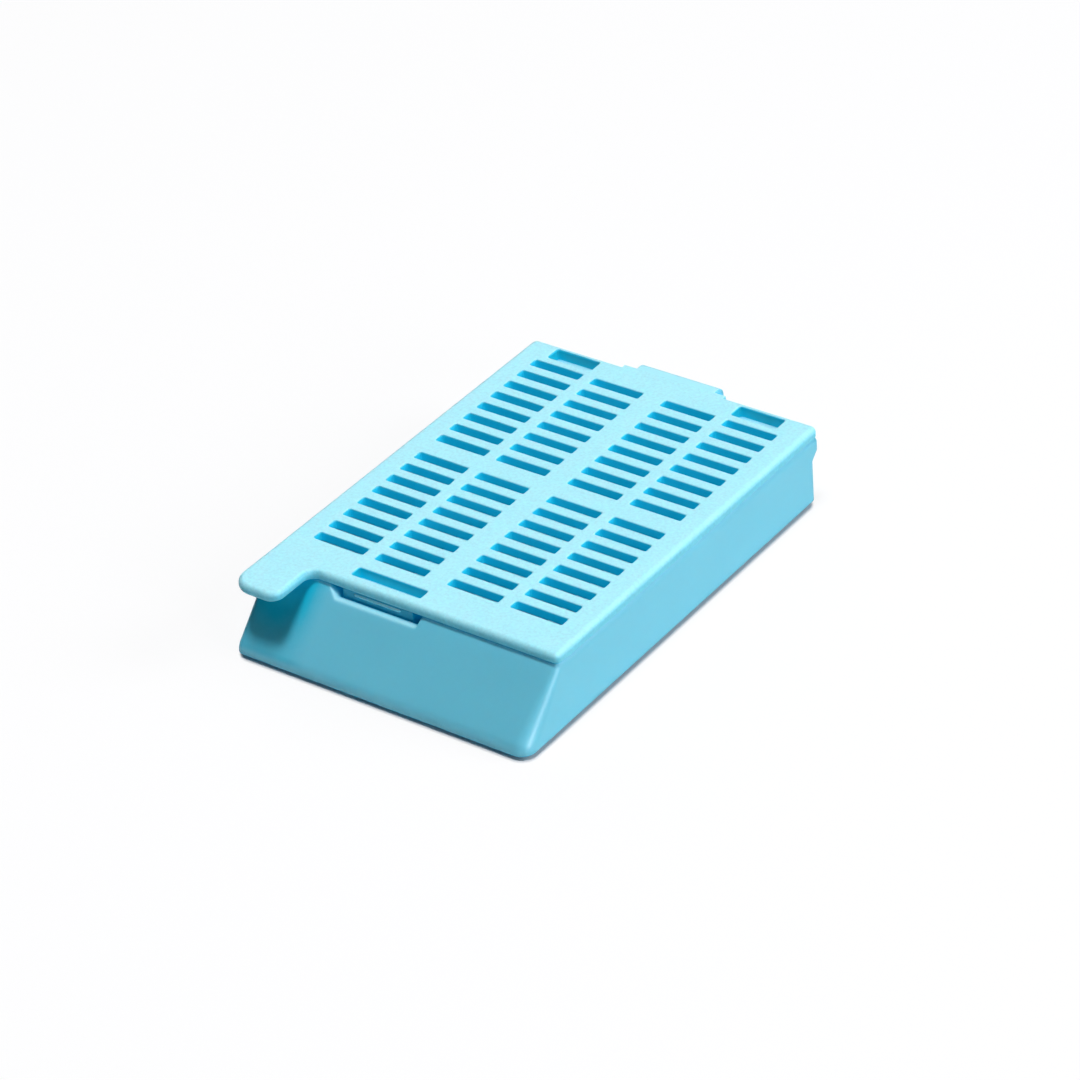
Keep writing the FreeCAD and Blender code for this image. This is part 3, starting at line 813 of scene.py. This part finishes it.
    # The rounded upper edge takes the finish of the face round it.
    where = add(tree, "GeometryNodeInputPosition", 1900, -300)
    level = add(tree, "ShaderNodeSeparateXYZ", 2050, -300)
    link(where.outputs[0], level.inputs[0])
    brim = math_node("SUBTRACT", get("Top"), flare)
    edge = math_node("GREATER_THAN", level.outputs["Z"], brim, x=2200, y=-300)
    rimmed = add(tree, "GeometryNodeSetMaterial", 2400, 0)
    link(coloured.outputs["Geometry"], rimmed.inputs["Geometry"])
    link(edge, rimmed.inputs["Selection"])
    link(get("Edge Material"), rimmed.inputs["Material"])
    link(rimmed.outputs["Geometry"], out.inputs["Geometry"])
    return tree


def slot_cutters(name, bottom, top):
    """The cutters of every slot, made a plain mesh."""
    o = bpy.context.scene.cassette_openings
    obj = new_object(name, bpy.data.meshes.new(name))
    made = obj.modifiers.new("slots", "NODES")
    made.node_group = slot_tree()
    values = {
        label: getattr(o, label.lower().replace(" ", "_"))
        for label in (*SLOT_FIELDS, "Rows", "Bank Rows")
    }
    values.update({
        "Top": top,
        "Bottom": bottom,
        "Material": plastic("slot wall"),
        "Edge Material": plastic("slot edge"),
    })
    for item in made.node_group.interface.items_tree:
        if item.in_out == "INPUT":
            made[item.identifier] = values[item.name]
    settle(obj)
    return obj


# ---------------------------------------------------------------- pieces


def lid_outline(s):
    left, right = LID_LOW.x, LID_HIGH.x
    front = LID_LOW.y + s.tab_reach
    rear = LID_HIGH.y - s.land_reach
    tab_x = left + s.tab_width
    change = front + SIDE_POINT
    return [
        (left, LID_LOW.y, s.tab_outer),
        (tab_x, LID_LOW.y, s.tab_inner),
        (tab_x, front, s.tab_root),
        (right, front, s.corner_radius),
        (right, change, 0),
        (right, rear, s.corner_radius),
        (left, rear, s.corner_radius),
        (left, change, 0),
    ]


def lid_plate(s):
    """The plate with its rounded rim, before it is hollowed and slotted."""
    points = outline(lid_outline(s), RIM_STEPS)
    front = LID_LOW.y + s.tab_reach + FRONT_STRIP

    def under(point):
        return s.front_radius if point.y < front else s.side_radius

    def over(point):
        along = min(max((point.y - front) / SIDE_BLEND, 0), 1)
        return s.top_radius + (s.side_top - s.top_radius) * along

    def band(radius, turn, height):
        return ring(points, lambda p: radius(p) * turn, height)

    steps = 8
    rings = []
    for k in range(steps + 1):
        angle = math.pi / 2 * k / steps
        rise = 1 - math.cos(angle)
        rings.append(band(under, 1 - math.sin(angle), lambda p: RIM_Z + under(p) * rise))
    for k in range(steps + 1):
        angle = math.pi / 2 * k / steps
        drop = 1 - math.sin(angle)
        rings.append(band(over, 1 - math.cos(angle), lambda p: TOP_Z - over(p) * drop))
    bm = bmesh.new()
    loft(bm, rings)
    return new_object("lid_plate", mesh_from(bm, "lid_plate"), plastic("grained lid"))


def tongue(s, c):
    """The catch tongue that drops into the front notch, with its bead."""
    bm = bmesh.new()
    rear, front = c.tongue_rear, c.tongue_front
    root = RIM_Z + s.recess_depth
    mid = c.bead_top
    half = c.bead_height / 2
    tip = c.tongue_tip
    profile = [
        (rear, root), (rear, tip), (front + c.tongue_bevel, tip),
        (front, tip + c.tongue_bevel), (front, root),
    ]
    loft(bm, [[Vector((x, y, z)) for y, z in profile] for x in (c.tongue_left, c.tongue_right)])
    obj = new_object("tongue", mesh_from(bm, "tongue"), plastic("tongue"))
    soften(obj, s.soft_edge)
    bm = bmesh.new()
    ridge = []
    steps = 8
    for k in range(steps + 1):
        angle = math.pi * k / steps
        ridge.append((front - c.bead_reach * math.sin(angle), mid - half * math.cos(angle)))
    ridge.append((front + c.tongue_bevel, mid + half))
    ridge.append((front + c.tongue_bevel, mid - half))
    ends = (
        (c.bead_left, 0.0), (c.bead_left + half, 1.0),
        (c.bead_right - half, 1.0), (c.bead_right, 0.0),
    )
    rings = []
    for x, full in ends:
        width = BEAD_END + (1 - BEAD_END) * full
        one = []
        for y, z in ridge:
            out = full if y < front else 1
            one.append(Vector((x, front + (y - front) * out, mid + (z - mid) * width)))
        rings.append(one)
    loft(bm, rings)
    bead = new_object("bead", mesh_from(bm, "bead"), plastic("grained lid"))
    combine(obj, bead, "UNION")
    return obj


def block(name, x0, x1, y0, y1, z0, z1, width, material):
    """A small moulded block with soft edges."""
    obj = prism(name, rectangle(x0, x1, y0, y1, 0), z0, z1, material)
    soften(obj, width)
    return obj


class CASSETTE_OT_base(bpy.types.Operator):
    """Finish the moulded base"""

    bl_idname = "cassette.base"
    bl_label = "Base"

    def execute(self, context):
        node = frame["nodes"]["base"]
        bm = bmesh.new()
        bm.from_mesh(node.data)
        bmesh.ops.remove_doubles(bm, verts=bm.verts, dist=WELD)
        bmesh.ops.dissolve_limit(
            bm, angle_limit=math.radians(FLAT_ANGLE), verts=bm.verts, edges=bm.edges
        )
        mesh = bpy.data.meshes.new("base_moulding")
        bm.to_mesh(mesh)
        bm.free()
        obj = new_object("base_moulding", mesh, plastic("satin base"))
        soften(obj, context.scene.cassette_lid.soft_edge, limit=BASE_ANGLE)
        shade(obj)
        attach(obj, "base")
        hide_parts("base")
        return {"FINISHED"}


class CASSETTE_OT_lid(bpy.types.Operator):
    """Build the slotted lid with its tab, tongue, lugs and windows"""

    bl_idname = "cassette.lid"
    bl_label = "Lid"

    def execute(self, context):
        s = context.scene.cassette_lid
        o = context.scene.cassette_openings
        c = context.scene.cassette_catches
        plastic_top = plastic("grained lid")
        wall = plastic("window wall")
        plate_under = RIM_Z + s.recess_depth
        lid = lid_plate(s)
        lid.name = "slotted_lid"
        hollow = prism(
            "hollow",
            rectangle(-s.recess_half, s.recess_half, s.recess_front, s.recess_rear, s.recess_corner),
            RIM_Z - s.recess_depth, RIM_Z + s.recess_depth, plastic_top,
        )
        land = block(
            "land", -s.land_half, s.land_half, LID_HIGH.y - s.land_reach - LAND_ROOT, LID_HIGH.y,
            RIM_Z + s.land_step, TOP_Z - s.land_step, s.soft_edge, plastic_top,
        )
        combine(lid, tongue(s, c), "UNION")
        combine(lid, land, "UNION")
        combine(lid, hollow, "DIFFERENCE")
        for side in (-1, 1):
            x0, x1 = sorted((side * c.lug_inner, side * c.lug_outer))
            lug = block(
                "lug", x0, x1, c.lug_front, c.lug_rear, c.lug_tip,
                plate_under + LUG_ROOT, s.soft_edge, plastic_top,
            )
            combine(lid, lug, "UNION")
        low = RIM_Z - s.recess_depth
        windows = [(o.front_left, o.front_right, o.front_near, o.front_far)]
        for side in (-1, 1):
            x0, x1 = sorted((side * o.rear_inner, side * o.rear_outer))
            windows.append((x0, x1, o.rear_near, o.rear_far))
        for place in windows:
            cutter = opening(
                "window", *place, low, TOP_Z, o.slot_corner, o.slot_flare,
                wall, plastic("slot edge"),
            )
            combine(lid, cutter, "DIFFERENCE")
        combine(lid, slot_cutters("slots", plate_under - CUT_PAST, TOP_Z), "DIFFERENCE")
        shade(lid)
        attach(lid, "lid")
        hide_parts("lid")
        return {"FINISHED"}


class CASSETTE_OT_strap(bpy.types.Operator):
    """Build the living hinge, folded as it lies when the lid is shut"""

    bl_idname = "cassette.strap"
    bl_label = "Hinge strap"

    def execute(self, context):
        s = context.scene.cassette_strap
        half = s.thickness / 2
        corner = half * STRAP_CORNER
        line = [(s.root, s.lower, 0.0, -1.0)]
        middle = (s.upper + s.lower) / 2
        radius = (s.upper - s.lower) / 2
        runs = 3
        for k in range(1, runs):
            line.append((s.root + (s.bend - s.root) * k / runs, s.lower, 0.0, -1.0))
        folds = 24
        for k in range(folds + 1):
            angle = -math.pi / 2 + math.pi * k / folds
            line.append((
                s.bend + radius * math.cos(angle), middle + radius * math.sin(angle),
                math.cos(angle), math.sin(angle),
            ))
        for k in range(runs - 1, -1, -1):
            line.append((s.root + (s.bend - s.root) * k / runs, s.upper, 0.0, 1.0))
        section = rectangle(-s.half_width, s.half_width, -half, half, corner)
        across = outline(section, STRAP_STEPS)
        rings = []
        for y, z, ny, nz in line:
            rings.append([Vector((p.x, y + ny * p.y, z + nz * p.y)) for p, _ in across])
        bm = bmesh.new()
        loft(bm, rings)
        strap = new_object("hinge_strap", mesh_from(bm, "hinge_strap"), plastic("hinge strap"))
        shade(strap)
        # Known fault: with the lid fully open the fold bunches up and crosses itself.
        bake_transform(strap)
        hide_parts("living_hinge")
        return {"FINISHED"}


def area_light(name, place, size, watts):
    data = bpy.data.lights.new(name, "AREA")
    data.shape = "DISK"
    data.size = size
    data.energy = watts
    data.color = bpy.context.scene.cassette_colours.lamp
    obj = bpy.data.objects.new(name, data)
    obj.location = place
    aim = Vector(LAMP_AIM) - Vector(place)
    obj.rotation_euler = aim.to_track_quat("-Z", "Y").to_euler()
    bpy.context.scene.collection.objects.link(obj)
    return obj


class CASSETTE_OT_stage(bpy.types.Operator):
    """Lay the floor and set the lamps, the world and the camera"""

    bl_idname = "cassette.stage"
    bl_label = "Stage"

    def execute(self, context):
        scene = context.scene
        lights = scene.cassette_lights
        bm = bmesh.new()
        bmesh.ops.create_grid(bm, x_segments=1, y_segments=1, size=FLOOR_HALF)
        for vert in bm.verts:
            vert.co.z = BASE_LOW.z - lights.gap
        mesh = bpy.data.meshes.new("floor")
        bm.to_mesh(mesh)
        bm.free()
        floor = new_object("floor", mesh, self.floor_finish(lights))

        for name, (place, size) in LAMPS.items():
            lamp = area_light(name, place, size, getattr(lights, name))
            lamp.visible_diffuse = name != "glint"

        # Pale where the camera looks past the floor, and no light from all round.
        world = bpy.data.worlds.new("studio")
        scene.world = world
        world.use_nodes = True
        tree = world.node_tree
        dark = tree.nodes["Background"]
        dark.inputs["Strength"].default_value = 0.0
        pale = add(tree, "ShaderNodeBackground", 0, -200, {"Strength": 1.0})
        rays = add(tree, "ShaderNodeLightPath", -400, 300)
        mix = add(tree, "ShaderNodeMixShader", 200, 0, {
            0: rays.outputs["Is Camera Ray"], 1: dark.outputs[0], 2: pale.outputs[0],
        })
        tree.links.new(mix.outputs[0], tree.nodes["World Output"].inputs["Surface"])

        scene.view_settings.view_transform = "Standard"
        self.camera(scene)
        return {"FINISHED"}

    def floor_finish(self, lights):
        """A floor that reads white away from the part; round the foot it stays grey, a painted contact
        shade on which the part's real shadow falls.
        """
        material = bpy.data.materials.new("floor")
        material.use_nodes = True
        tree = material.node_tree
        tree.nodes.remove(tree.nodes["Principled BSDF"])

        # Distance from the part's foot, from 0 beside it to 1 a little way off: the painted grey shade
        # fades to white over it.
        rear = LID_HIGH.y - bpy.context.scene.cassette_lid.land_reach - REAR_LIP
        centre = ((BASE_LOW.x + BASE_HIGH.x) / 2, (BASE_LOW.y + rear) / 2, 0)
        half = (
            (BASE_HIGH.x - BASE_LOW.x) / 2 - FLOOR_CORNER, (rear - BASE_LOW.y) / 2 - FLOOR_CORNER, 1,
        )
        away = add(tree, "ShaderNodeTexCoord", -1600, 200).outputs["Object"]
        for x, operation, by in (
            (-1400, "SUBTRACT", centre), (-1200, "ABSOLUTE", None),
            (-1000, "SUBTRACT", half), (-800, "MAXIMUM", (0, 0, 0)),
        ):
            inputs = {0: away} if by is None else {0: away, 1: by}
            away = add(tree, "ShaderNodeVectorMath", x, 200, inputs, operation=operation).outputs[0]
        distance = add(tree, "ShaderNodeVectorMath", -600, 200, {0: away}, operation="LENGTH")
        fade = add(tree, "ShaderNodeMapRange", -400, 200, {
            "Value": distance.outputs["Value"],
            "From Min": FLOOR_CORNER, "From Max": FLOOR_CORNER + FLOOR_FADE,
        }, interpolation_type="SMOOTHSTEP")

        shaded = add(tree, "ShaderNodeBsdfDiffuse", -200, 0, {"Color": (*lights.floor, 1)})
        pale = add(tree, "ShaderNodeBsdfDiffuse", -200, -150, {"Color": FLOOR_PALE})
        glow = add(tree, "ShaderNodeEmission", -200, -300, {"Strength": 1.0})
        white = add(tree, "ShaderNodeMixShader", 0, -200, {
            0: FLOOR_GLOW, 1: pale.outputs[0], 2: glow.outputs[0],
        })
        rays = add(tree, "ShaderNodeLightPath", -400, 500)
        share = add(tree, "ShaderNodeMath", -100, 300, {
            0: rays.outputs["Is Camera Ray"], 1: fade.outputs["Result"],
        }, operation="MULTIPLY")
        mix = add(tree, "ShaderNodeMixShader", 200, 0, {
            0: share.outputs[0], 1: shaded.outputs[0], 2: white.outputs[0],
        })
        tree.links.new(mix.outputs[0], tree.nodes["Material Output"].inputs["Surface"])
        return material

    def camera(self, scene):
        data = bpy.data.cameras.new("camera")
        data.lens = CAMERA_LENS
        data.sensor_width = CAMERA_SENSOR
        data.clip_start, data.clip_end = CAMERA_RANGE
        camera = bpy.data.objects.new("camera", data)
        camera.location = CAMERA_PLACE
        camera.rotation_euler = [math.radians(v) for v in CAMERA_TURN]
        scene.collection.objects.link(camera)
        scene.camera = camera


class CASSETTE_PT_panel(bpy.types.Panel):
    """Lists the cassette's pieces and their sizes"""

    bl_idname = "CASSETTE_PT_panel"
    bl_label = "Tissue Cassette"
    bl_space_type = "VIEW_3D"
    bl_region_type = "UI"
    bl_category = "Cassette"

    def draw(self, context):
        layout = self.layout
        for operator in OPERATORS:
            layout.operator(operator.bl_idname)
        for name, (group, label) in GROUPS.items():
            box = layout.box()
            box.label(text=label)
            for field in group.__annotations__:
                box.prop(getattr(context.scene, name), field)


GROUPS = {
    "cassette_lid": (CassetteLidSizes, "Lid"),
    "cassette_openings": (CassetteOpenings, "Slots and windows"),
    "cassette_catches": (CassetteCatches, "Tongue and lugs"),
    "cassette_strap": (CassetteStrap, "Hinge strap"),
    "cassette_colours": (CassetteColours, "Plastic"),
    "cassette_lights": (CassetteLights, "Light"),
}
OPERATORS = (CASSETTE_OT_base, CASSETTE_OT_lid, CASSETTE_OT_strap, CASSETTE_OT_stage)


def register():
    for name, (group, _) in GROUPS.items():
        bpy.utils.register_class(group)
        setattr(bpy.types.Scene, name, bpy.props.PointerProperty(type=group))
    for operator in OPERATORS:
        bpy.utils.register_class(operator)
    bpy.utils.register_class(CASSETTE_PT_panel)


def unregister():
    bpy.utils.unregister_class(CASSETTE_PT_panel)
    for operator in reversed(OPERATORS):
        bpy.utils.unregister_class(operator)
    for name, (group, _) in GROUPS.items():
        delattr(bpy.types.Scene, name)
        bpy.utils.unregister_class(group)


def main():
    known = set(frame["nodes"].values()) | set(frame["bodies"].values())
    for obj in list(bpy.data.objects):
        if obj not in known:
            bpy.data.objects.remove(obj)
    register()
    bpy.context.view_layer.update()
    bpy.ops.cassette.base()
    bpy.ops.cassette.lid()
    bpy.ops.cassette.strap()
    bpy.ops.cassette.stage()


if __name__ == "__main__":
    main()
